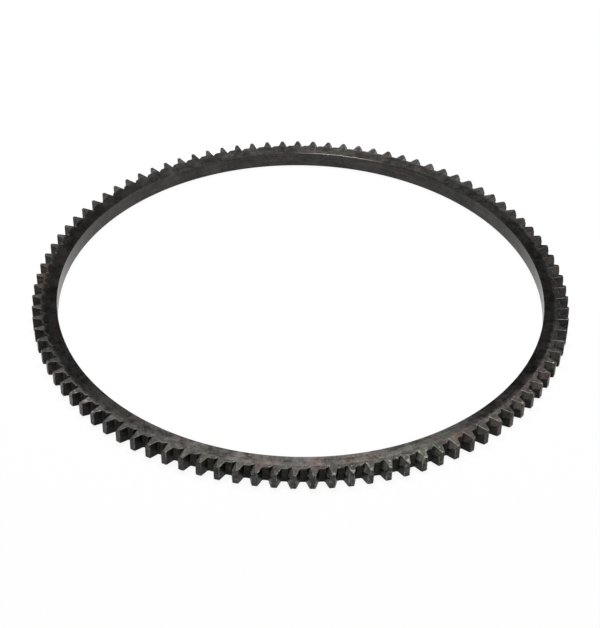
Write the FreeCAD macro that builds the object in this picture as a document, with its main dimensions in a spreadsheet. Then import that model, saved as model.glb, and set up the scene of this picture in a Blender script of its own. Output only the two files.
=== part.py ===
import FreeCAD, Part
import math
import os
import Sketcher

# Flywheel ring gear: one turned and hobbed steel hoop with starter teeth on its rim.
# The axis is Z, the lower end face lies on Z = 0 and one tooth is centred on +X.

document = FreeCAD.newDocument("RingGear")

# Driving dimensions, in millimetres and degrees

DRIVING_SIZES = {
    "tooth_count": 97,  # number of teeth
    "pitch_module": 3.175,  # pitch diameter for each tooth, 8 diametral pitch
    "addendum": 2.54,  # stub tooth height above the pitch circle, 10 diametral pitch
    "dedendum": 2.6,  # tooth depth below the pitch circle
    "pressure_angle": 20,  # pressure angle of the involute flanks
    "root_fillet": 0.4,  # fillet radius in the corners of a tooth space
    "face_width": 9.525,  # width of the ring along its axis, 3/8 inch
    "rim_wall": 9.3,  # solid rim between the bore and the tooth roots
    "bore_break": 0.15,  # edge break at both ends of the bore
    "bevel_offset": 0.8,  # bevel edge from the tooth centre line, at the root circle
    "bevel_splay": 9,  # turn of the bevel edge from the tooth centre line
    "bevel_steepness": 70,  # slope of the bevel, measured from the end face
    "bevel_runout": 1.9,  # length of the bevel past the root circle into the rim
    "bevel_heel": 30,  # lean of the inner end of the bevel, measured from the axis
    "bevel_drift": 20,  # outward turn of the cutter's path across the tooth
}
sizes = document.addObject("Spreadsheet::Sheet", "Sizes")
for row, (alias, number) in enumerate(DRIVING_SIZES.items(), start=1):
    sizes.set(f"A{row}", alias)
    sizes.set(f"B{row}", str(number))
    sizes.setAlias(f"B{row}", alias)
document.recompute()

# Geometry that follows from the driving dimensions

PITCH_RADIUS = "Sizes.tooth_count * Sizes.pitch_module / 2"
TIP_RADIUS = f"({PITCH_RADIUS} + Sizes.addendum)"
ROOT_RADIUS = f"({PITCH_RADIUS} - Sizes.dedendum)"
BORE_RADIUS = f"({ROOT_RADIUS} - Sizes.rim_wall)"
CUTTER_CLEARANCE = "Sizes.pitch_module / 4"

# An involute flank is drawn as the arc that shares its curvature at the pitch circle.
FLANK_RADIUS = f"{PITCH_RADIUS} * sin(Sizes.pressure_angle * 1 deg)"
BASE_RADIUS = f"{PITCH_RADIUS} * cos(Sizes.pressure_angle * 1 deg)"
FLANK_CENTRE_ANGLE = "(90 / Sizes.tooth_count + Sizes.pressure_angle) * 1 deg"
FLANK_CENTRE_X = f"{BASE_RADIUS} * cos({FLANK_CENTRE_ANGLE})"
FLANK_CENTRE_Y = f"{BASE_RADIUS} * sin({FLANK_CENTRE_ANGLE})"

# The bevel is as wide as the way from its edge past the foot of the flank and its fillet.
FOOT_HALF_WIDTH = "(pi * Sizes.pitch_module / 4 + Sizes.dedendum * tan(Sizes.pressure_angle * 1 deg))"
BEVEL_WIDTH = f"({FOOT_HALF_WIDTH} + Sizes.root_fillet - Sizes.bevel_offset)"
BEVEL_LENGTH = f"{BEVEL_WIDTH} / cos(Sizes.bevel_steepness * 1 deg)"
BEVEL_SWEEP = f"{BEVEL_WIDTH} * sin(Sizes.bevel_steepness * 1 deg)"
BEVEL_REACH = f"Sizes.addendum + Sizes.dedendum + {CUTTER_CLEARANCE}"
BEVEL_TURN = "rotation(Sizes.bevel_splay; 0; Sizes.bevel_steepness)"
BEVEL_PATH = f"{BEVEL_TURN} * vector(tan(Sizes.bevel_drift * 1 deg); 0; 1)"
HEEL = "Sizes.bevel_heel * 1 deg"


def value(formula):
    result = sizes.evalExpression(formula)
    return float(getattr(result, "Value", result))


def point(x, y):
    return FreeCAD.Vector(x, y, 0)


def origin_plane(body, role):
    return next(item for item in body.Origin.OriginFeatures if item.Role == role)


def new_sketch(body, name, role):
    sketch = body.newObject("Sketcher::SketchObject", name)
    sketch.AttachmentSupport = [(origin_plane(body, role), "")]
    sketch.MapMode = "FlatFace"
    return sketch


def bind(sketch, name, constraint, formula):
    index = sketch.addConstraint(constraint)
    sketch.renameConstraint(index, name)
    sketch.setExpression(f"Constraints.{name}", formula)


def place(sketch, name, geometry, end, x_formula, y_formula):
    x_value = value(x_formula)
    y_value = value(y_formula)
    x_constraint = Sketcher.Constraint("DistanceX", -1, 1, geometry, end, x_value)
    y_constraint = Sketcher.Constraint("DistanceY", -1, 1, geometry, end, y_value)
    bind(sketch, f"{name}_x", x_constraint, x_formula)
    bind(sketch, f"{name}_y", y_constraint, y_formula)


def closed_outline(sketch, corners):
    # corners holds a name and the two coordinate formulas of each corner, in order
    points = [point(value(x), value(y)) for _, x, y in corners]
    following = points[1:] + points[:1]
    lines = [sketch.addGeometry(Part.LineSegment(a, b)) for a, b in zip(points, following)]
    for line, after in zip(lines, lines[1:] + lines[:1]):
        sketch.addConstraint(Sketcher.Constraint("Coincident", line, 2, after, 1))
    for line, (name, x_formula, y_formula) in zip(lines, corners):
        place(sketch, name, line, 1, x_formula, y_formula)


ring = document.addObject("PartDesign::Body", "ring_gear")
ring.Label = "ring_gear"

# Turned blank: the section of the hoop, with broken edges, turned about the axis

section = new_sketch(ring, "blank_section", "XZ_Plane")
closed_outline(
    section,
    [
        ("bore_foot", f"{BORE_RADIUS} + Sizes.bore_break", "0"),
        ("tip_foot", TIP_RADIUS, "0"),
        ("tip_head", TIP_RADIUS, "Sizes.face_width"),
        ("bore_head", f"{BORE_RADIUS} + Sizes.bore_break", "Sizes.face_width"),
        ("bore_high", BORE_RADIUS, "Sizes.face_width - Sizes.bore_break"),
        ("bore_low", BORE_RADIUS, "Sizes.bore_break"),
    ],
)
blank = ring.newObject("PartDesign::Revolution", "turned_blank")
blank.Profile = section
blank.ReferenceAxis = (section, ["V_Axis"])
blank.Angle = 360
document.recompute()

# Tooth space: what the hob takes out between two teeth, half a tooth pitch from +X

space = new_sketch(ring, "tooth_space", "XY_Plane")
space.setExpression(
    "AttachmentOffset",
    "placement(vector(0; 0; 0); vector(0; 0; 1); 180 / Sizes.tooth_count)",
)

root = value(ROOT_RADIUS)
tip = value(TIP_RADIUS)
fillet = value("Sizes.root_fillet")
flank_radius = value(FLANK_RADIUS)
centre = point(value(FLANK_CENTRE_X), value(FLANK_CENTRE_Y))
outer_x = value(f"{TIP_RADIUS} + {CUTTER_CLEARANCE}")

# The fillet centre lies a fillet radius outside the root circle and the flank arc.
reach = root + fillet
span = flank_radius + fillet
centre_distance = centre.Length
swing = math.acos((reach**2 + centre_distance**2 - span**2) / (2 * reach * centre_distance))
fillet_turn = math.atan2(centre.y, centre.x) - swing
fillet_centre = point(reach * math.cos(fillet_turn), reach * math.sin(fillet_turn))
flank_foot = centre + (fillet_centre - centre).normalize() * flank_radius
root_end = point(root * math.cos(fillet_turn), root * math.sin(fillet_turn))
outer_y = centre.y - math.sqrt(flank_radius**2 - (outer_x - centre.x) ** 2)
flank_head = point(outer_x, outer_y)


def arc_between(middle, radius, first, last):
    # counter-clockwise arc about middle, from the first point to the last
    start = math.atan2(first.y - middle.y, first.x - middle.x)
    finish = math.atan2(last.y - middle.y, last.x - middle.x)
    if finish < start:
        finish += 2 * math.pi
    circle = Part.Circle(middle, FreeCAD.Vector(0, 0, 1), radius)
    return Part.ArcOfCircle(circle, start, finish)


def mirrored(vector):
    return point(vector.x, -vector.y)


origin = point(0, 0)
upper_flank = space.addGeometry(arc_between(centre, flank_radius, flank_foot, flank_head))
upper_fillet = space.addGeometry(arc_between(fillet_centre, fillet, flank_foot, root_end))
root_floor = space.addGeometry(arc_between(origin, root, mirrored(root_end), root_end))
lower_fillet = space.addGeometry(
    arc_between(mirrored(fillet_centre), fillet, mirrored(root_end), mirrored(flank_foot))
)
lower_flank = space.addGeometry(
    arc_between(mirrored(centre), flank_radius, mirrored(flank_head), mirrored(flank_foot))
)
mouth = space.addGeometry(Part.LineSegment(flank_head, mirrored(flank_head)))

place(space, "upper_centre", upper_flank, 3, FLANK_CENTRE_X, FLANK_CENTRE_Y)
place(space, "lower_centre", lower_flank, 3, FLANK_CENTRE_X, f"-1 * {FLANK_CENTRE_Y}")
bind(
    space,
    "flank_radius",
    Sketcher.Constraint("Radius", upper_flank, flank_radius),
    FLANK_RADIUS,
)
bind(space, "fillet_radius", Sketcher.Constraint("Radius", upper_fillet, fillet), "Sizes.root_fillet")
bind(space, "root_radius", Sketcher.Constraint("Radius", root_floor, root), ROOT_RADIUS)
space.addConstraint(Sketcher.Constraint("Equal", upper_flank, lower_flank))
space.addConstraint(Sketcher.Constraint("Equal", upper_fillet, lower_fillet))
space.addConstraint(Sketcher.Constraint("Coincident", root_floor, 3, -1, 1))
space.addConstraint(Sketcher.Constraint("Tangent", upper_flank, 1, upper_fillet, 1))
space.addConstraint(Sketcher.Constraint("Tangent", upper_fillet, 2, root_floor, 2))
space.addConstraint(Sketcher.Constraint("Tangent", lower_fillet, 1, root_floor, 1))
space.addConstraint(Sketcher.Constraint("Tangent", lower_flank, 2, lower_fillet, 2))
space.addConstraint(Sketcher.Constraint("Coincident", upper_flank, 2, mouth, 1))
space.addConstraint(Sketcher.Constraint("Coincident", lower_flank, 1, mouth, 2))
space.addConstraint(Sketcher.Constraint("Vertical", mouth))
bind(
    space,
    "mouth_x",
    Sketcher.Constraint("DistanceX", -1, 1, mouth, 1, outer_x),
    f"{TIP_RADIUS} + {CUTTER_CLEARANCE}",
)
hob_cut = ring.newObject("PartDesign::Pocket", "hob_cut")
hob_cut.Profile = space
hob_cut.Type = "ThroughAll"
hob_cut.Reversed = True
document.recompute()

# Tooth-end bevel: a milled lead-in at the upper end, on the clockwise flank of each tooth.
# Its sketch lies in the plane of the bevel, with the bevel edge along the sketch's X axis.

bevel = new_sketch(ring, "end_bevel", "XY_Plane")
bevel.setExpression(
    "AttachmentOffset",
    f"placement(vector({ROOT_RADIUS}; -1 * Sizes.bevel_offset; Sizes.face_width); {BEVEL_TURN})",
)
closed_outline(
    bevel,
    [
        ("heel_foot", f"{BEVEL_LENGTH} * tan({HEEL}) - Sizes.bevel_runout", f"-1 * {BEVEL_LENGTH}"),
        ("outer_foot", BEVEL_REACH, f"-1 * {BEVEL_LENGTH}"),
        ("outer_head", BEVEL_REACH, CUTTER_CLEARANCE),
        (
            "heel_head",
            f"-1 * Sizes.bevel_runout - {CUTTER_CLEARANCE} * tan({HEEL})",
            CUTTER_CLEARANCE,
        ),
    ],
)
bevel_cut = ring.newObject("PartDesign::Pocket", "bevel_cut")
bevel_cut.Profile = bevel
bevel_cut.Type = "Length"
bevel_cut.setExpression("Length", BEVEL_SWEEP)
bevel_cut.UseCustomVector = True
bevel_cut.setExpression("Direction", BEVEL_PATH)
document.recompute()

# Teeth: both cuts are indexed round the blank, one tooth at a time

teeth = ring.newObject("PartDesign::PolarPattern", "teeth")
teeth.Originals = [hob_cut, bevel_cut]
teeth.Axis = (section, ["V_Axis"])
teeth.Angle = 360
teeth.setExpression("Occurrences", "Sizes.tooth_count")
ring.Tip = teeth
document.recompute()

# Each cut has to take metal away, and the ring has to stay one sound solid

for item in document.Objects:
    if "Invalid" in item.State or "Error" in item.State:
        raise RuntimeError(f"{item.Name} failed: {item.State}")
volumes = [blank.Shape.Volume, hob_cut.Shape.Volume, bevel_cut.Shape.Volume, teeth.Shape.Volume]
if volumes != sorted(volumes, reverse=True) or len(set(volumes)) < len(volumes):
    raise RuntimeError(f"a cut took nothing away: {volumes}")
if ring.Shape.isNull() or not ring.Shape.isValid() or len(ring.Shape.Solids) != 1:
    raise RuntimeError("the ring isn't one valid solid")

os.makedirs("parts", exist_ok=True)
ring.Shape.exportStep(f"parts/{ring.Label}.step")
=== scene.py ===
import math

import bmesh
import bpy
from mathutils import Matrix, Vector


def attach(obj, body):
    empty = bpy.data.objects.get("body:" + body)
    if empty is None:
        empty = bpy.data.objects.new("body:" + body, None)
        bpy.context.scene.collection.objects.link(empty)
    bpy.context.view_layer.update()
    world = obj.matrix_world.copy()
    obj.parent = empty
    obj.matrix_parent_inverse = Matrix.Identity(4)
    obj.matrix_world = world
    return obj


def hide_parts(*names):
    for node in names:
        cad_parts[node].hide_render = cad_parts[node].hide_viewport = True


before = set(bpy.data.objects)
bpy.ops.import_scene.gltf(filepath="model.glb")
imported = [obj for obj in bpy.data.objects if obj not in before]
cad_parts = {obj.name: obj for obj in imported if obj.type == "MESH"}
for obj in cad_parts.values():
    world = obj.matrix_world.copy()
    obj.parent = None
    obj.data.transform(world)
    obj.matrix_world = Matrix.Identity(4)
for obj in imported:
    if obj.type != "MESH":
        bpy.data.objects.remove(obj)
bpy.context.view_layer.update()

# Camera: stands in front of the gear and looks down on it at 38 degrees, through a long lens.
CAMERA_AIM = Vector((0.0, 0.0, 0.0047625))
CAMERA_DISTANCE = 1.0026
CAMERA_ELEVATION = math.radians(38.423)
CAMERA_BEARING = math.radians(-1.991)
CAMERA_YAW = math.radians(-0.012)
CAMERA_PITCH = math.radians(-0.652)
CAMERA_ROLL = math.radians(0.983)
CAMERA_LENS = 97.69

stand = Matrix.Rotation(CAMERA_BEARING, 4, "Z")
stand = stand @ Matrix.Rotation(math.pi / 2 - CAMERA_ELEVATION, 4, "X")
stand = stand @ Matrix.Translation((0.0, 0.0, CAMERA_DISTANCE))
head = Matrix.Rotation(-CAMERA_YAW, 4, "Y") @ Matrix.Rotation(CAMERA_PITCH, 4, "X")
head = head @ Matrix.Rotation(CAMERA_ROLL, 4, "Z")

camera_data = bpy.data.cameras.new("camera")
camera_data.lens = CAMERA_LENS
camera = bpy.data.objects.new("camera", camera_data)
camera.matrix_world = Matrix.Translation(CAMERA_AIM) @ stand @ head
bpy.context.scene.collection.objects.link(camera)
bpy.context.scene.camera = camera
bpy.context.scene.view_settings.view_transform = "Standard"

# Studio: a white paper floor under the gear, one wide soft box high up behind it, and a dim room.
# The camera and the gear's gloss see the paper and the air low over it white, with a faint shadow.
FLOOR_SIZE = 12.0
FLOOR_DROP = 0.00005
PAPER_COLOUR = (0.90, 0.90, 0.90, 1.0)
WHITE = (1.0, 1.0, 1.0, 1.0)
SHADOW_STRENGTH = 0.08
ROOM_LIGHT = 0.07
GLOSS_HORIZON = (0.15, 0.35)
LAMP_PLACE = Vector((0.0, 0.35, 1.30))
LAMP_WIDTH = 1.0
LAMP_DEPTH = 0.5
LAMP_WATTS = 22.5


def put(tree, kind, inputs=None, **settings):
    node = tree.nodes.new(kind)
    for name, setting in settings.items():
        setattr(node, name, setting)
    for socket, source in (inputs or {}).items():
        if isinstance(source, bpy.types.NodeSocket):
            tree.links.new(source, node.inputs[socket])
        else:
            node.inputs[socket].default_value = source
    return node


def number(tree, operation, first, second=0.0, clamp=False):
    inputs = {0: first, 1: second}
    return put(tree, "ShaderNodeMath", inputs, operation=operation, use_clamp=clamp).outputs[0]


def ramp(tree, source, start, finish, low=0.0, high=1.0):
    inputs = {"Value": source, "From Min": start, "From Max": finish, "To Min": low, "To Max": high}
    return put(tree, "ShaderNodeMapRange", inputs, clamp=True).outputs["Result"]


world = bpy.data.worlds.new("studio_room")
bpy.context.scene.world = world
world.use_nodes = True
tree = world.node_tree
tree.nodes.clear()
path = put(tree, "ShaderNodeLightPath")
ray = put(tree, "ShaderNodeSeparateXYZ", {0: put(tree, "ShaderNodeTexCoord").outputs["Generated"]})
low_air = ramp(tree, ray.outputs["Z"], *GLOSS_HORIZON, 1.0, 0.0)
backdrop = number(tree, "MULTIPLY", path.outputs["Is Glossy Ray"], low_air)
backdrop = number(tree, "MAXIMUM", path.outputs["Is Camera Ray"], backdrop)
strength = ramp(tree, backdrop, 0.0, 1.0, ROOM_LIGHT, 1.0)
air = put(tree, "ShaderNodeBackground", {"Color": WHITE, "Strength": strength})
put(tree, "ShaderNodeOutputWorld", {"Surface": air.outputs[0]})

floor_mesh = bpy.data.meshes.new("floor")
sheet = bmesh.new()
bmesh.ops.create_grid(sheet, x_segments=1, y_segments=1, size=FLOOR_SIZE / 2)
sheet.to_mesh(floor_mesh)
sheet.free()
floor = bpy.data.objects.new("floor", floor_mesh)
floor.location.z = -FLOOR_DROP
bpy.context.scene.collection.objects.link(floor)

paper = bpy.data.materials.new("white_paper")
paper.use_nodes = True
tree = paper.node_tree
tree.nodes.clear()
path = put(tree, "ShaderNodeLightPath")
matt = put(tree, "ShaderNodeBsdfDiffuse", {"Color": PAPER_COLOUR})
glow = put(tree, "ShaderNodeEmission", {"Color": WHITE, "Strength": 1.0})
lit = put(tree, "ShaderNodeMixShader", {0: SHADOW_STRENGTH, 1: glow.outputs[0], 2: matt.outputs[0]})
looked_at = number(tree, "ADD", path.outputs["Is Camera Ray"], path.outputs["Is Glossy Ray"], clamp=True)
seen = put(tree, "ShaderNodeMixShader", {0: looked_at, 1: matt.outputs[0], 2: lit.outputs[0]})
put(tree, "ShaderNodeOutputMaterial", {"Surface": seen.outputs[0]})
floor_mesh.materials.append(paper)

lamp = bpy.data.lights.new("overhead_box", "AREA")
lamp.shape = "RECTANGLE"
lamp.size = LAMP_WIDTH
lamp.size_y = LAMP_DEPTH
lamp.energy = LAMP_WATTS
overhead_box = bpy.data.objects.new("overhead_box", lamp)
overhead_box.location = LAMP_PLACE
overhead_box.rotation_euler = (-LAMP_PLACE).to_track_quat("-Z", "Y").to_euler()
bpy.context.scene.collection.objects.link(overhead_box)

# Toothed ring: one steel hoop, turned to its section, hobbed with 97 stub teeth, and milled with
# a lead-in on the clockwise flank of each tooth's upper end. It is shrunk hot on a flywheel, and
# carries a dark heat oxide that handling has rubbed off its edges.
TOOTH_COUNT = 97
MODULE = 0.003175
ADDENDUM = 0.00254
DEDENDUM = 0.0026
PRESSURE_ANGLE = math.radians(20.0)
FACE_WIDTH = 0.009525
RIM_WALL = 0.0093
ROOT_FILLET = 0.0007
FLANK_STEPS = 5
BEVEL_OFFSET = 0.0008
BEVEL_SPLAY = math.radians(9.0)
BEVEL_STEEPNESS = math.radians(60.0)
BEVEL_RUNOUT = 0.0019
BEVEL_HEEL = math.radians(30.0)
BEVEL_DRIFT = math.radians(20.0)
WORN_EDGE = 0.00036
WORN_ANGLE = math.radians(25.0)
BORE_EDGE = 0.00012
ROUND_STEPS = 3
BORE_EDGE_STEPS = 2
BAND_RADIUS = 0.1502
BAND_SHIFT = Vector((-0.0010, 0.0012, 0.0))

# how closely points are joined and faces sorted: lengths, two angles and a cosine
HAIR = 1e-7
ROOT_LINE = 10 * HAIR
SEAM = 20 * HAIR
SHORTEST_EDGE = 0.00006
TIP_LINE = 0.1 * ADDENDUM
UPRIGHT = FACE_WIDTH / 3
FLAT_BEND = math.radians(0.2)
INNER_CORNER = -0.5
FACING = 0.99

pitch_radius = TOOTH_COUNT * MODULE / 2
tip_radius = pitch_radius + ADDENDUM
root_radius = pitch_radius - DEDENDUM
bore_radius = root_radius - RIM_WALL
base_radius = pitch_radius * math.cos(PRESSURE_ANGLE)
half_pitch = math.pi / TOOTH_COUNT

END_FACE, FLANK, TIP_LAND, BORE, BEVEL, EDGE, TOOTH_END, SPLIT = range(8)


def around(radius, angle):
    return Vector((radius * math.cos(angle), radius * math.sin(angle), 0.0))


def involute(angle):
    return math.tan(angle) - angle


def flank_point(step):
    radius = root_radius + (tip_radius - root_radius) * step / FLANK_STEPS
    roll = math.acos(base_radius / radius)
    return around(radius, half_pitch / 2 + involute(PRESSURE_ANGLE) - involute(roll))


# one tooth with its share of the rim, from the middle of one space to the middle of the next
half = [around(bore_radius, half_pitch / 3), around(bore_radius, half_pitch)]
half += [around(root_radius, half_pitch)]
half += [flank_point(step) for step in range(FLANK_STEPS + 1)]
outline = half + [around(tip_radius, 0.0)]
outline += [Vector((corner.x, -corner.y, 0.0)) for corner in reversed(half)]
tooth = bmesh.new()
lower = [tooth.verts.new(corner) for corner in outline]
upper = [tooth.verts.new(corner + Vector((0.0, 0.0, FACE_WIDTH))) for corner in outline]
tooth.faces.new(lower)
tooth.faces.new(upper)
for side in range(len(outline)):
    tooth.faces.new([lower[side - 1], lower[side], upper[side], upper[side - 1]])
bmesh.ops.recalc_face_normals(tooth, faces=tooth.faces)

# the lead-in is what lies beyond two planes: the bevel itself, and the heel at its inner end
turn = Matrix.Rotation(BEVEL_SPLAY, 3, "Z") @ Matrix.Rotation(BEVEL_STEEPNESS, 3, "X")
along, upward, outward = (Vector(turn.col[axis]) for axis in range(3))
bevel_point = Vector((root_radius, -BEVEL_OFFSET, FACE_WIDTH))
heel_point = bevel_point - along * BEVEL_RUNOUT
heel_line = along * math.tan(BEVEL_HEEL) - upward
heel_outward = (along * math.tan(BEVEL_DRIFT) + outward).cross(heel_line).normalized()
if heel_outward.x < 0.0:
    heel_outward.negate()


def beyond(place, plane_point, plane_normal):
    return (place - plane_point).dot(plane_normal)


for plane_point, plane_normal in ((bevel_point, outward), (heel_point, heel_outward)):
    everything = tooth.verts[:] + tooth.edges[:] + tooth.faces[:]
    bmesh.ops.bisect_plane(tooth, geom=everything, dist=HAIR, plane_co=plane_point, plane_no=plane_normal)
milled_away = [
    face
    for face in tooth.faces
    if beyond(face.calc_center_median(), bevel_point, outward) > HAIR
    and beyond(face.calc_center_median(), heel_point, heel_outward) > HAIR
]
bmesh.ops.delete(tooth, geom=milled_away, context="FACES")
open_edges = [edge for edge in tooth.edges if edge.is_boundary]
bevel_edges = [
    edge
    for edge in open_edges
    if all(abs(beyond(vert.co, bevel_point, outward)) < HAIR for vert in edge.verts)
]
heel_edges = [edge for edge in open_edges if edge not in bevel_edges]
bevel_verts = {vert for edge in bevel_edges for vert in edge.verts}
heel_verts = {vert for edge in heel_edges for vert in edge.verts}
corner_line = tooth.edges.new([vert for vert in tooth.verts if vert in bevel_verts & heel_verts])
bmesh.ops.edgenet_fill(tooth, edges=bevel_edges + [corner_line])
bmesh.ops.edgenet_fill(tooth, edges=heel_edges + [corner_line])
bmesh.ops.dissolve_limit(
    tooth, angle_limit=FLAT_BEND, verts=tooth.verts[:], edges=tooth.edges[:], delimit={"NORMAL"}
)
bmesh.ops.recalc_face_normals(tooth, faces=tooth.faces)

# each face is named for the tool that cut it, and SPLIT is where the next tooth joins on
for face in tooth.faces:
    middle = face.calc_center_median()
    radius = middle.xy.length
    sideways = abs(face.normal.y) > FACING and radius < root_radius
    if abs(face.normal.z) > FACING:
        face.material_index = END_FACE
    elif sideways and face.calc_area() > RIM_WALL * FACE_WIDTH / 2:
        face.material_index = SPLIT
    elif face.normal.dot(outward) > FACING:
        face.material_index = BEVEL
    elif radius < bore_radius + HAIR and face.normal.x < 0.0:
        face.material_index = BORE
    elif radius > tip_radius - TIP_LINE:
        face.material_index = TIP_LAND
    else:
        face.material_index = FLANK


def faces_of(edge):
    return {face.material_index for face in edge.link_faces}


def break_edges(edges, width, steps, finish):
    rounded = bmesh.ops.bevel(
        tooth,
        geom=edges,
        offset=width,
        offset_type="OFFSET",
        segments=steps,
        profile=0.5,
        affect="EDGES",
        clamp_overlap=False,
        material=-1,
    )
    for face in rounded["faces"]:
        face.material_index = finish


# the hob leaves a small fillet in each corner of the space, and every outer edge is rubbed round
root_corners = [
    edge
    for edge in tooth.edges
    if all(abs(vert.co.xy.length - root_radius) < ROOT_LINE for vert in edge.verts)
    and edge.calc_face_angle_signed() < INNER_CORNER
    and abs(edge.verts[0].co.z - edge.verts[1].co.z) > UPRIGHT
]
break_edges(root_corners, ROOT_FILLET, ROUND_STEPS, FLANK)
bmesh.ops.remove_doubles(tooth, verts=tooth.verts, dist=SHORTEST_EDGE)
worn = [
    edge
    for edge in tooth.edges
    if not faces_of(edge) & {SPLIT, BORE} and edge.calc_face_angle_signed() > WORN_ANGLE
]
break_edges(worn, WORN_EDGE, ROUND_STEPS, EDGE)
bore_corners = [edge for edge in tooth.edges if faces_of(edge) == {BORE, END_FACE}]
break_edges(bore_corners, BORE_EDGE, BORE_EDGE_STEPS, END_FACE)
split_faces = [face for face in tooth.faces if face.material_index == SPLIT]
bmesh.ops.delete(tooth, geom=split_faces, context="FACES")
for vert in tooth.verts:
    vert.co.z = min(vert.co.z, FACE_WIDTH)

# the spin copies the tooth round the axis, and the copies are joined where they meet
bmesh.ops.spin(
    tooth,
    geom=tooth.verts[:] + tooth.edges[:] + tooth.faces[:],
    cent=(0.0, 0.0, 0.0),
    axis=(0.0, 0.0, 1.0),
    dvec=(0.0, 0.0, 0.0),
    angle=2 * math.pi - 2 * half_pitch,
    steps=TOOTH_COUNT - 1,
    use_duplicate=True,
    use_merge=False,
)
bmesh.ops.remove_doubles(tooth, verts=tooth.verts, dist=SEAM)

# the facing cut on both ends ran a little off centre, so the tooth ends outside it stayed rough
for index in range(TOOTH_COUNT):
    spoke = around(1.0, 2 * half_pitch * index)
    band_point = spoke * (BAND_RADIUS + BAND_SHIFT.dot(spoke))
    sector = [
        face
        for face in tooth.faces
        if face.material_index == END_FACE and face.calc_center_median().xy.angle(spoke.xy) < half_pitch
    ]
    sector_edges = list(dict.fromkeys(edge for face in sector for edge in face.edges))
    sector_verts = list(dict.fromkeys(vert for edge in sector_edges for vert in edge.verts))
    sector = sector + sector_edges + sector_verts
    cut = bmesh.ops.bisect_plane(tooth, geom=sector, dist=HAIR, plane_co=band_point, plane_no=spoke)
    for face in cut["geom"]:
        if isinstance(face, bmesh.types.BMFace) and face.material_index == END_FACE:
            if beyond(face.calc_center_median(), band_point, spoke) > 0.0:
                face.material_index = TOOTH_END
bmesh.ops.recalc_face_normals(tooth, faces=tooth.faces)
for face in tooth.faces:
    face.smooth = True

# the bevels, the spin and the cuts leave the faces in no fixed order, so they are sorted here
tooth.verts.index_update()
in_order = sorted(tooth.faces, key=lambda face: [vert.index for vert in face.verts])
for index, face in enumerate(in_order):
    face.index = index
tooth.faces.sort()

ring_mesh = bpy.data.meshes.new("toothed_ring")
tooth.to_mesh(ring_mesh)
tooth.free()
ring = bpy.data.objects.new("toothed_ring", ring_mesh)
bpy.context.scene.collection.objects.link(ring)
flatten = ring.modifiers.new("flat_faces", "WEIGHTED_NORMAL")
flatten.mode = "FACE_AREA"
flatten.weight = 50

# where the oxide is chipped most: place, reach and how much more of it is gone
WORN_PLACES = (
    ((-0.0150, -0.1530, 0.0095), 0.030, 0.03),
    ((0.0140, -0.1530, 0.0095), 0.022, 0.04),
    ((0.0376, -0.1486, 0.0095), 0.030, 0.08),
    ((0.0622, -0.1360, 0.0095), 0.020, 0.07),
    ((-0.1200, -0.0900, 0.0095), 0.024, 0.11),
    ((0.0300, 0.1390, 0.0095), 0.028, 0.14),
)
CHIPPED_RADII = (0.1490, 0.1560)
CHIPS_INSIDE = -0.14
CHIP_RANGE = (0.54, 0.68)
CHIP_SEED = 40.0
BARE_STEEL = (0.34, 0.325, 0.305, 1.0)

# where rust has started: place and reach
RUST_PLACES = (
    ((-0.1525, 0.0160, 0.0080), 0.009),
    ((-0.1508, 0.0060, 0.0085), 0.006),
    ((0.0800, -0.1275, 0.0095), 0.005),
    ((0.0735, -0.1365, 0.0080), 0.003),
    ((0.0590, 0.1385, 0.0080), 0.004),
)
RUST_RANGE = (0.42, 0.58)
RUST = (0.115, 0.068, 0.040, 1.0)

# where the heat tinted the oxide: place, reach and tint
PINK = (1.13, 0.945, 0.96, 1.0)
GREEN = (0.94, 1.03, 0.92, 1.0)
BROWN = (1.08, 0.99, 0.92, 1.0)
TINTED_PLACES = (
    ((-0.0225, -0.1465, 0.0095), 0.009, PINK),
    ((0.0055, -0.1465, 0.0095), 0.008, PINK),
    ((-0.0118, -0.1463, 0.0095), 0.006, GREEN),
    ((0.0240, -0.1450, 0.0095), 0.012, BROWN),
    ((0.0600, -0.1340, 0.0095), 0.012, GREEN),
    ((0.0848, -0.1240, 0.0095), 0.007, PINK),
    ((0.1150, -0.0997, 0.0095), 0.007, BROWN),
    ((0.1270, -0.0870, 0.0095), 0.013, PINK),
)
FILM_RANGE = (0.48, 0.60)

# where a highlight is painted on the rim of the bore, and where the rim is dark: place, reach and colour
BORE_RIM_PLACES = (
    ((0.0300, 0.1390, 0.0095), 0.030, (0.50, 0.475, 0.44, 1.0)),
    ((0.0850, 0.1140, 0.0095), 0.045, (0.010, 0.009, 0.008, 1.0)),
)
BORE_RIM_RADII = (bore_radius + 0.0002, bore_radius + 0.0005)

# the oxide's patterns: how fine each is, and its step in the row of seeds
CLOUDS = {"scale": 60.0, "step": 0.0, "detail": 3.0, "roughness": 0.6}
BLOTCHES = {"scale": 260.0, "step": 3.0, "detail": 4.0, "roughness": 0.65}
GRAIN = {"scale": 1100.0, "step": 7.0, "detail": 3.0, "roughness": 0.7}
TOOL_LINES = {"scale": 1500.0, "step": 11.0, "detail": 3.0, "roughness": 0.7}
PINK_FILM = {"scale": 110.0, "step": 20.0, "detail": 3.0, "roughness": 0.55}
GREEN_FILM = {"scale": 150.0, "step": 30.0, "detail": 3.0, "roughness": 0.55}
RUST_SPOTS = {"scale": 500.0, "step": 50.0, "detail": 4.0, "roughness": 0.55}
CHIPS = {"scale": 520.0, "step": 0.0, "detail": 3.0, "roughness": 0.55}
CLOUD_SHARE = 0.6
GRAIN_SHARE = 0.4
TONE_RANGE = (0.43, 0.58)

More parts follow.
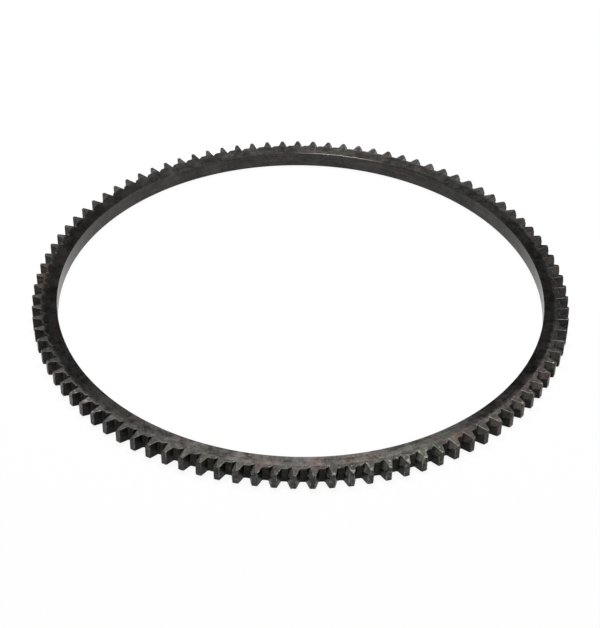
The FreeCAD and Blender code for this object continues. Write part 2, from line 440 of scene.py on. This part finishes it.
# the stretch over which each change across the ring fades, along a radius or an axis
PLACE_CORE = 0.3
# painted shade towards the root corners of the spaces, where the teeth shade each other
ROOT_SHADE_RADII = (0.1508, 0.1530)
# painted highlight on the top edges
CREST_HIGHLIGHT_HEIGHTS = (0.0086, 0.0093)
# painted shade low on the faces
LOWER_SHADE_HEIGHTS = (0.0, 0.006)
# painted shade: the right side of the ring is darker, with more metal there, and the left side is darker too
RIGHT_SHADE_SIDE = (0.125, 0.150)
RIGHT_SHADE_METAL = 0.7
SHADED_SIDE = (-0.150, -0.105)
SIDE_SHADE = 0.75
# painted shade towards the back of the ring
SHADED_BACK = (0.0, 0.10)
BAND_EDGE = (BAND_RADIUS - 0.0015, BAND_RADIUS + 0.0004)
BAND_WANDER = 0.0008
BAND_METAL = 0.6
BAND_ROUGHNESS = 0.12
MIDDLE_RANGE = (0.3, 0.7)
CLOUD_RANGE = (0.35, 0.65)
GLOSS_SPREAD = 0.03
TOOTH_PITCH = 2 * half_pitch * pitch_radius


def mixed(tree, factor, low, high):
    return put(tree, "ShaderNodeMix", {0: factor, 6: low, 7: high}, data_type="RGBA").outputs[2]


def tinted(tree, factor, colour, tint):
    inputs = {0: 1.0, 6: colour, 7: tint}
    dyed = put(tree, "ShaderNodeMix", inputs, data_type="RGBA", blend_type="MULTIPLY").outputs[2]
    return mixed(tree, factor, colour, dyed)


def vector_of(tree, operation, first, second=(0.0, 0.0, 0.0)):
    return put(tree, "ShaderNodeVectorMath", {0: first, 1: second}, operation=operation).outputs


def pattern(tree, vector, seed, scale, step, detail, roughness):
    inputs = {"Vector": vector, "W": seed + step, "Scale": scale, "Detail": detail, "Roughness": roughness}
    return put(tree, "ShaderNodeTexNoise", inputs, noise_dimensions="4D").outputs[0]


def near(tree, place, centre, reach):
    gap = vector_of(tree, "DISTANCE", place, centre)["Value"]
    return ramp(tree, gap, PLACE_CORE * reach, reach, 1.0, 0.0)


def grey(value, red=1.0, green=1.0, blue=1.0):
    return (value * red, value * green, value * blue, 1.0)


# the mix of the four patterns that decides how dark the oxide is
def oxide_tone(tree, cloud, blotch, grain, lines, mottle, streaks):
    tone = number(tree, "MULTIPLY", cloud, CLOUD_SHARE - mottle)
    for layer, share in ((blotch, mottle), (grain, GRAIN_SHARE - streaks), (lines, streaks)):
        tone = number(tree, "ADD", tone, number(tree, "MULTIPLY", layer, share))
    return tone


# each tooth is a little lighter or darker, pinker or greener than the next, with painted shade near its root
def tooth_by_tooth(tree, colour, turn, radius, spread, corner):
    tooth_number = number(tree, "ROUND", number(tree, "DIVIDE", turn, TOOTH_PITCH))
    chance = put(tree, "ShaderNodeTexWhiteNoise", {"W": tooth_number}, noise_dimensions="1D").outputs
    hues = put(tree, "ShaderNodeSeparateColor", {0: chance["Color"]}).outputs
    colour = tinted(tree, 1.0, colour, ramp(tree, chance["Value"], 0.0, 1.0, 1.0 - spread, 1.0 + spread))
    colour = tinted(tree, ramp(tree, hues[0], 0.5, 1.0), colour, PINK)
    colour = tinted(tree, ramp(tree, hues[1], 0.5, 1.0), colour, GREEN)
    # painted shade: darker towards the root corners of the spaces, where the teeth shade each other
    return tinted(tree, 1.0, colour, ramp(tree, radius, *ROOT_SHADE_RADII, corner, 1.0))


# thin films of pink and green oxide, and the places where the heat tinted it most
def heat_tinted(tree, colour, place, seed, film):
    pink = ramp(tree, pattern(tree, place, seed, **PINK_FILM), *FILM_RANGE, 0.0, film)
    green = ramp(tree, pattern(tree, place, seed, **GREEN_FILM), *FILM_RANGE, 0.0, film)
    colour = tinted(tree, green, tinted(tree, pink, colour, PINK), GREEN)
    for centre, reach, tint in TINTED_PLACES:
        colour = tinted(tree, near(tree, place, centre, reach), colour, tint)
    return colour


def rusted(tree, colour, place, seed):
    rust = 0.0
    for centre, reach in RUST_PLACES:
        rust = number(tree, "MAXIMUM", near(tree, place, centre, reach), rust)
    spots = ramp(tree, pattern(tree, place, seed, **RUST_SPOTS), *RUST_RANGE)
    return mixed(tree, number(tree, "MULTIPLY", rust, spots), colour, RUST)


# chips go through the oxide to bare steel, more towards the tooth tips and at the worn places
def chipped(tree, colour, place, radius, chips):
    level = ramp(tree, radius, *CHIPPED_RADII, CHIPS_INSIDE, 0.0)
    for centre, reach, extra in WORN_PLACES:
        level = number(tree, "ADD", level, number(tree, "MULTIPLY", near(tree, place, centre, reach), extra))
    flake = number(tree, "ADD", pattern(tree, place, CHIP_SEED, **CHIPS), level)
    return mixed(tree, ramp(tree, flake, *CHIP_RANGE, 0.0, chips), colour, BARE_STEEL)


# how far a point lies past the ragged edge of the facing cut, which ran a little off centre
def past_facing_cut(tree, place, blotch):
    drift = vector_of(tree, "SUBTRACT", place, BAND_SHIFT)[0]
    reach = vector_of(tree, "LENGTH", vector_of(tree, "MULTIPLY", drift, (1.0, 1.0, 0.0))[0])["Value"]
    reach = number(tree, "ADD", reach, ramp(tree, blotch, *MIDDLE_RANGE, -BAND_WANDER, BAND_WANDER))
    return ramp(tree, reach, *BAND_EDGE)


# a painted highlight lies on one stretch of the bore's corner, and another stretch is darker
def bore_rim_highlight_and_dark(tree, colour, place, radius):
    rim = ramp(tree, radius, *BORE_RIM_RADII, 1.0, 0.0)
    for centre, reach, rim_colour in BORE_RIM_PLACES:
        rim_mark = number(tree, "MULTIPLY", near(tree, place, centre, reach), rim)
        colour = mixed(tree, rim_mark, colour, rim_colour)
    return colour


# A steel surface under heat oxide. The first words give its two greys, its roughness, the run of
# its tool marks and its seed. The others say how worn, tinted and glossy it is, and how much
# painted shade and painted highlight it carries.
def oxide(
    name,
    dark,
    pale,
    roughness,
    grooves,
    seed,
    metal=0.75,
    gleam=0.5,
    anisotropy=0.0,
    grain_depth=0.000012,
    mottle=0.3,
    streaks=0.2,
    film=0.8,
    chips=0.0,
    tooth_spread=0.0,
    corner=1.0,
    band=0.0,
    crest_highlight=1.0,
    lower_shade=1.0,
    right_shade=1.0,
    back_shade=0.75,
):
    material = bpy.data.materials.new(name)
    material.use_nodes = True
    tree = material.node_tree
    tree.nodes.clear()
    place = put(tree, "ShaderNodeTexCoord").outputs["Object"]
    x, y, z = put(tree, "ShaderNodeSeparateXYZ", {0: place}).outputs
    square = number(tree, "ADD", number(tree, "POWER", x, 2.0), number(tree, "POWER", y, 2.0))
    radius = number(tree, "SQRT", square)
    turn = number(tree, "MULTIPLY", number(tree, "ARCTAN2", y, x), pitch_radius)
    unrolled = put(tree, "ShaderNodeCombineXYZ", {0: radius, 1: turn, 2: z}).outputs[0]
    stretched = put(tree, "ShaderNodeMapping", {"Vector": unrolled, "Scale": grooves}).outputs[0]

    cloud = pattern(tree, place, seed, **CLOUDS)
    blotch = pattern(tree, place, seed, **BLOTCHES)
    grain = pattern(tree, place, seed, **GRAIN)
    lines = pattern(tree, stretched, seed, **TOOL_LINES)
    tone = oxide_tone(tree, cloud, blotch, grain, lines, mottle, streaks)
    colour = mixed(tree, ramp(tree, tone, *TONE_RANGE), dark, pale)
    if tooth_spread:
        colour = tooth_by_tooth(tree, colour, turn, radius, tooth_spread, corner)
    colour = heat_tinted(tree, colour, place, seed, film)
    colour = rusted(tree, colour, place, seed)
    if chips:
        colour = chipped(tree, colour, place, radius, chips)

    gloss = ramp(tree, grain, *MIDDLE_RANGE, roughness - GLOSS_SPREAD, roughness + GLOSS_SPREAD)
    gloss = number(tree, "ADD", gloss, ramp(tree, cloud, *CLOUD_RANGE, -GLOSS_SPREAD, GLOSS_SPREAD))
    if band:
        outside = past_facing_cut(tree, place, blotch)
        colour = tinted(tree, outside, colour, grey(band))
        metal = ramp(tree, outside, 0.0, 1.0, metal, BAND_METAL)
        gloss = number(tree, "ADD", gloss, number(tree, "MULTIPLY", outside, BAND_ROUGHNESS))
        # painted highlight on one stretch of the bore's rim, and a darker stretch
        colour = bore_rim_highlight_and_dark(tree, colour, place, radius)
    # painted highlight: lighter towards the top edges, as if they catch the light
    colour = tinted(tree, 1.0, colour, ramp(tree, z, *CREST_HIGHLIGHT_HEIGHTS, 1.0, crest_highlight))
    # painted shade: darker towards the lower end of the faces
    colour = tinted(tree, 1.0, colour, ramp(tree, z, *LOWER_SHADE_HEIGHTS, lower_shade, 1.0))
    # painted shade: darker towards the right side of the ring
    colour = tinted(tree, 1.0, colour, ramp(tree, x, *RIGHT_SHADE_SIDE, 1.0, right_shade))
    # painted shade: more metal on the right side darkens it further, and the left side is made darker too
    if right_shade < 1.0 and not band:
        metal = ramp(tree, x, *RIGHT_SHADE_SIDE, metal, metal + RIGHT_SHADE_METAL * (1.0 - metal))
        colour = tinted(tree, 1.0, colour, ramp(tree, x, *SHADED_SIDE, SIDE_SHADE, 1.0))
    # painted shade: darker towards the back of the ring
    colour = tinted(tree, 1.0, colour, ramp(tree, y, *SHADED_BACK, 1.0, back_shade))

    height = number(tree, "ADD", number(tree, "MULTIPLY", lines, 0.5), number(tree, "MULTIPLY", grain, 0.5))
    bump = put(tree, "ShaderNodeBump", {"Strength": 1.0, "Distance": grain_depth, "Height": height})
    surface = {
        "Base Color": colour,
        "Roughness": gloss,
        "Normal": bump.outputs[0],
        "Metallic": metal,
        "Anisotropic": anisotropy,
        "Specular IOR Level": gleam,
    }
    if anisotropy:
        spoke = put(tree, "ShaderNodeCombineXYZ", {0: x, 1: y}).outputs[0]
        surface["Tangent"] = vector_of(tree, "NORMALIZE", spoke)["Vector"]
    shader = put(tree, "ShaderNodeBsdfPrincipled", surface)
    put(tree, "ShaderNodeOutputMaterial", {"Surface": shader.outputs[0]})
    return material


# which way the tool marks run, as stretches along the radius, round the ring and along the axis
TURNED = (1.0, 0.02, 1.0)
HOBBED = (0.05, 0.05, 1.0)
MILLED = (1.0, 1.0, 0.1)
WARM = (1.05, 1.0, 0.95)
MOSSY = (0.98, 1.02, 0.90)

# in the order of END_FACE, FLANK, TIP_LAND, BORE, BEVEL, EDGE and TOOTH_END
finishes = (
    oxide(
        "turned_end_face", grey(0.018, *WARM), grey(0.088, *WARM), 0.375, TURNED, 1.0,
        metal=0.9, anisotropy=0.79, mottle=0.4, streaks=0.25, chips=0.35, band=1.25, right_shade=0.75,
    ),
    oxide(
        "hobbed_flank", grey(0.002, *WARM), grey(0.032, *MOSSY), 0.42, HOBBED, 2.0,
        metal=0.55, gleam=0.18, streaks=0.34, film=2.5, tooth_spread=0.45, lower_shade=0.3, back_shade=1.0,
    ),
    oxide(
        "turned_tip_land", grey(0.010, *MOSSY), grey(0.052, *MOSSY), 0.40, MILLED, 3.0,
        chips=0.2, tooth_spread=0.15,
    ),
    oxide(
        "bored_wall", grey(0.022, *WARM), grey(0.054, *WARM), 0.28, TURNED, 4.0,
        grain_depth=0.000003, streaks=0.4, back_shade=1.0,
    ),
    oxide(
        "milled_bevel", grey(0.040, *MOSSY), grey(0.19, *MOSSY), 0.5, MILLED, 5.0,
        metal=0.35, film=1.5, chips=0.6, tooth_spread=0.35, corner=0.6, right_shade=0.7,
    ),
    oxide(
        "rubbed_and_highlit_edge", grey(0.022, *WARM), grey(0.08, *WARM), 0.45, MILLED, 6.0,
        chips=0.5, crest_highlight=1.45,
    ),
    oxide(
        "hobbed_tooth_end", grey(0.016, *WARM), grey(0.100, *WARM), 0.56, MILLED, 9.0,
        metal=0.55, mottle=0.4, chips=0.75, tooth_spread=0.25, right_shade=0.33, back_shade=0.88,
    ),
)
for finish in finishes:
    ring_mesh.materials.append(finish)

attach(ring, "root")
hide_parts("ring_gear")
